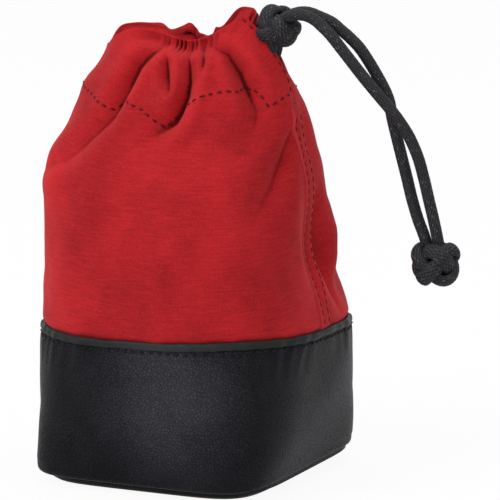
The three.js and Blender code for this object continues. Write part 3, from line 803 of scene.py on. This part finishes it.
def plait(angle, travel, diameter):
    """Height, from 0 to 1, of a braid's surface: two sets of strands that pass over and under each other."""
    pitch = math.pi * diameter / CARRIERS
    a = CARRIERS * angle / (2 * math.pi) + travel / pitch * 0.5
    b = CARRIERS * angle / (2 * math.pi) - travel / pitch * 0.5
    over = (np.floor(a) + np.floor(b)) % 2 == 0
    ridge = np.where(over, np.abs(np.sin(np.pi * a)), np.abs(np.sin(np.pi * b)))
    other = np.where(over, np.abs(np.sin(np.pi * b)), np.abs(np.sin(np.pi * a)))
    return 0.75 * ridge ** 0.6 + 0.25 * other ** 0.5


def braid(line, diameter, sides=36, across=None, squeeze=1.0, closed=False):
    """A braided tube along a line. Across gives the wide direction where the cord is squeezed flat."""
    line = np.asarray(line, float)
    n = len(line)
    if closed:
        heading = np.roll(line, -1, 0) - np.roll(line, 1, 0)
    else:
        heading = np.gradient(line, axis=0)
    heading /= np.linalg.norm(heading, axis=1, keepdims=True)
    if across is None:
        side = np.cross(heading[0], [0.3, 1.0, 0.2])
        frames = []
        for h in heading:
            side = side - h * side.dot(h)
            side = side / np.linalg.norm(side)
            frames.append(side)
        across = np.array(frames)
    else:
        across = across - heading * np.sum(across * heading, axis=1, keepdims=True)
        across /= np.linalg.norm(across, axis=1, keepdims=True)
    upward = np.cross(heading, across)
    angles = np.linspace(0, 2 * np.pi, sides, endpoint=False)
    A, S = np.meshgrid(angles, travelled(line))
    height = plait(A, S, diameter)
    radius = diameter / 2 * (1 - RELIEF + RELIEF * height)
    ring = (line[:, None] + across[:, None] * (np.cos(A) * radius / squeeze ** 0.5)[..., None]
            + upward[:, None] * (np.sin(A) * radius * squeeze ** 0.5)[..., None])
    if closed:
        faces = loop_faces(n, sides)
    else:
        ends = [tuple(reversed(range(sides))), tuple((n - 1) * sides + i for i in range(sides))]
        faces = grid_faces(n, sides, True) + ends
    return ring.reshape(-1, 3), faces, np.stack([height, S * MM, A], axis=-1).reshape(-1, 3)


def cord_finish(name):
    """Dark braided polyester: painted shade in the hollows between the strands and a painted highlight on the raised
    ones, with pale grey flecks on the highest.
    """
    material, paint, shader, place = finish_of(name)
    raised = paint.node("SeparateXYZ", Vector=paint.node("Attribute", {"attribute_name": "run"}, out=1))
    fibres = paint.node("TexNoise", Vector=place, Scale=2300.0, Detail=3.0)
    flecks = paint.node("TexNoise", Vector=place, Scale=800.0, Detail=1.0).between(0.56, 0.68)
    # Painted shade and highlight: the braid's hollows are painted near black and its raised strands paler.
    tone = raised.between(0.45, 1.0) * 0.8 + fibres * 0.3
    plain = tone.between(0.2, 1.0).blend(srgb(4, 4, 6), srgb(46, 45, 50))
    colour = (flecks * raised.between(0.6, 1.0) * 0.6).blend(plain, srgb(104, 102, 106))
    bump = paint.node("Bump", Strength=0.5, Distance=0.0002, Height=fibres)
    feed(paint, shader, Base_Color=colour, Roughness=0.62 + fibres * 0.2, Normal=bump,
         Specular_IOR_Level=0.25)
    return material


dark_cord = cord_finish("dark_cord")
BEND_CENTRE = (39.0, 148.1)
BEND_START = 184
BEND_END = {"front": 52, "back": 70}
CORD_BEND = 10.5
LANE = 2.15
END_KNOT = (87.0, 79.0)
# Angles of the arc on which the cord comes out of the casing, and the heading back into it.
ENTRY = (-50, -40, -28, -14)
INTO_CASING = np.array([-0.82, 0, -0.57])


def on_bend(degrees, outward, y):
    """A place on the cords' bend, at an angle round its centre."""
    angle = math.radians(degrees)
    radius = CORD_BEND + outward
    return (BEND_CENTRE[0] + radius * math.cos(angle), y, BEND_CENTRE[1] + radius * math.sin(angle))


FREE = {
    "front": [(50.0, -2.8, 153), (54.4, -3, 148.4), (62, -3, 140), (68.3, -3, 133.5), (72.8, -2.8, 128.8),
              (76.4, -2.3, 124), (78.7, -1.8, 120), (81.3, -1.5, 114.1), (83.2, -1.2, 107.4), (84.8, -0.9, 100.6),
              (86.4, -0.6, 93.9), (87.9, -0.2, 86.5), (88.9, 0, 79.5), (89.2, 0, 74.1)],
    "back": [(47.9, 2.7, 156), (51.2, 2.8, 153.7), (54.8, 3, 151.0), (59.0, 3, 147.0), (64.9, 3, 138.6),
             (68.5, 2.9, 132), (70.2, 2.2, 125.9), (72.1, 1.9, 119.3), (74.1, 1.5, 112.8), (76.1, 1.2, 106.2),
             (78, 0.9, 99.6), (80.4, 0.5, 93), (83.2, 0.2, 86.5), (84.9, 0, 79.5), (85.2, 0, 74.1)],
}
for side in ("front", "back"):
    sign = -1 if side == "front" else 1
    run_line = smooth_line(halves[side]["run"][3:-1:6], 0.8)
    points, faces, run = braid(run_line, HELD_CORD, sides=16)
    piece(f"{side}_casing_cord", points, faces, dark_cord, f"{side}_mouth", [f"cord_{side}_run"], run)
    bend_start = np.array(on_bend(BEND_START, 0, sign * LANE))
    route = []
    for degrees in ENTRY:
        angle = math.radians(degrees)
        route.append(bend_start + (CORD_BEND * (math.cos(angle) - 1), 0, CORD_BEND * math.sin(angle)))
    route += [on_bend(BEND_START + (BEND_END[side] - BEND_START) * k / 14, 0, sign * LANE) for k in range(15)]
    route += FREE[side]
    line = smooth_line(route, 0.3)
    points, faces, run = braid(line, CORD)
    strand = piece(f"{side}_cord", points, faces, dark_cord, None, [f"cord_{side}_strand"], run)
    hold = bend_start * [1, 0, 1]
    leave = hold + INTO_CASING * 0.8 * (route[0] - bend_start).dot(INTO_CASING)
    tuple(leave * MM)
    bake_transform(strand)
    tuple(line[0] * MM)
    [tuple(p * MM) for p in line[::5]]

# Knots: two woven button knots tied in the same cord. The upper one slides on both free ends and keeps the
# mouth shut, and the lower one joins the two ends for good.
KNOT_STRAND = 4.1
KNOT_POINTS = 420
WEAVE = 0.95
SLIDER_ANGLE = 150


def woven_knot(on_cords, length):
    """One closed strand that passes over and under itself three times round the two cords."""
    turn = 2 * np.pi * 3 * np.arange(KNOT_POINTS) / KNOT_POINTS
    phase = 4 * turn / 3
    across = LANE + CORD / 2 + KNOT_STRAND / 2 + WEAVE - 1.0
    through = CORD / 2 + KNOT_STRAND / 2 + WEAVE + 0.3
    lift = WEAVE * np.sin(2 * phase)
    half = length / 2 - KNOT_STRAND / 2
    end = np.cos(phase)
    belly = np.sqrt(1 - (0.6 * end) ** 2)
    local = np.stack([half * end + lift * end * 0.5, (across * belly + lift) * np.cos(turn),
                      (through * belly + lift) * np.sin(turn)], axis=1)
    outward = np.stack([0.16 * end, np.cos(turn) / across, np.sin(turn) / through], axis=1)
    line = np.array([on_cords(*p) for p in local])
    beyond = np.array([on_cords(*p) for p in local + outward])
    heading = np.roll(line, -1, 0) - np.roll(line, 1, 0)
    wide = np.cross(beyond - line, heading)
    return braid(line, KNOT_STRAND, across=wide, squeeze=0.58, closed=True)


arc = math.degrees(1 / CORD_BEND)
points, faces, run = woven_knot(lambda a, b, c: on_bend(SLIDER_ANGLE - a * arc, c, b), length=10.5)
piece("sliding_knot", points, faces, dark_cord, "slider", ["slider_knot"], run)
points, faces, run = woven_knot(lambda a, b, c: (END_KNOT[0] + b, c, END_KNOT[1] + a), length=14)
piece("closing_knot", points, faces, dark_cord, "pouch", ["end_knot"], run)

# Floor and studio light: a pale table that runs on behind as the backdrop, a large soft lamp at the upper
# left, a weaker one on the right and one overhead.
floor_mesh = bpy.data.meshes.new("table_top")
floor_mesh.from_pydata([(-4, -4, 0), (4, -4, 0), (4, 4, 0), (-4, 4, 0)], [], [(0, 1, 2, 3)])
table = bpy.data.objects.new("table_top", floor_mesh)
bpy.context.scene.collection.objects.link(table)
pale, paint, shader, place = finish_of("pale_table")
feed(paint, shader, Base_Color=(0.9, 0.9, 0.9, 1), Roughness=0.7)


def shown_rays(tree, mirrored):
    """How much a ray shows the plain background: camera rays fully, reflected and transmitted ones by the
    given share."""
    path = tree.nodes.new("ShaderNodeLightPath")
    kinds = ("Camera", "Glossy", "Transmission")
    camera, glossy, through = (Paint(tree, path.outputs[f"Is {kind} Ray"]) for kind in kinds)
    return camera.math("MAXIMUM", glossy * mirrored).math("MAXIMUM", through * mirrored)


seen = shown_rays(pale.node_tree, 0.55)
white = paint.node("Emission", Color=(1, 1, 1, 1), Strength=1.0)
output = pale.node_tree.nodes["Material Output"]
mixed = paint.node("MixShader", i0=seen * 0.93, i1=Paint(pale.node_tree, shader.outputs[0]), i2=white)
pale.node_tree.links.new(mixed.socket, output.inputs[0])
floor_mesh.materials.append(pale)

world = bpy.data.worlds.new("studio")
bpy.context.scene.world = world
world.use_nodes = True
shown = shown_rays(world.node_tree, 1.0)
backdrop = world.node_tree.nodes["Background"]
backdrop.inputs[0].default_value = (1, 1, 1, 1)
strength = shown * 0.55 + 0.45
world.node_tree.links.new(strength.socket, backdrop.inputs[1])


def lamp(name, place, aim, size, power):
    """A square lamp at a place, turned to its aim."""
    data = bpy.data.lights.new(name, "AREA")
    data.energy, data.size = power, size
    made = bpy.data.objects.new(name, data)
    bpy.context.scene.collection.objects.link(made)
    made.location = place
    made.rotation_euler = (Vector(aim) - Vector(place)).to_track_quat("-Z", "Y").to_euler()


lamp("key_lamp", (-0.55, -0.75, 0.95), (0, 0, 0.08), 0.7, 9)
lamp("fill_lamp", (0.95, -0.5, 0.5), (0, 0, 0.08), 0.8, 1.8)
lamp("top_lamp", (0.1, 0.3, 1.2), (0, 0, 0.1), 0.8, 5)

camera_data = bpy.data.cameras.new("camera")
camera = bpy.data.objects.new("camera", camera_data)
bpy.context.scene.collection.objects.link(camera)
bpy.context.scene.camera = camera
# The view of the photo: 25 degrees round, 13 degrees up, 500 px wide at 3 px to 1 mm.
SENSOR = 36
DISTANCE = 4.0
SEEN_WIDTH = 500 / 3.0 * MM
turned, raised = math.radians(25), math.radians(13)
right = Vector((math.cos(turned), math.sin(turned), 0))
back = Vector((math.sin(turned) * math.cos(raised), -math.cos(turned) * math.cos(raised), math.sin(raised)))
up = back.cross(right)
camera_data.sensor_width = SENSOR
camera_data.lens = SENSOR * DISTANCE / SEEN_WIDTH
camera_data.clip_end = 20
aim = right * 0.0178 + up * 0.073
camera.location = aim + back * DISTANCE
camera.rotation_euler = Matrix((right, up, back)).transposed().to_euler()
bpy.context.scene.view_settings.view_transform = "Standard"
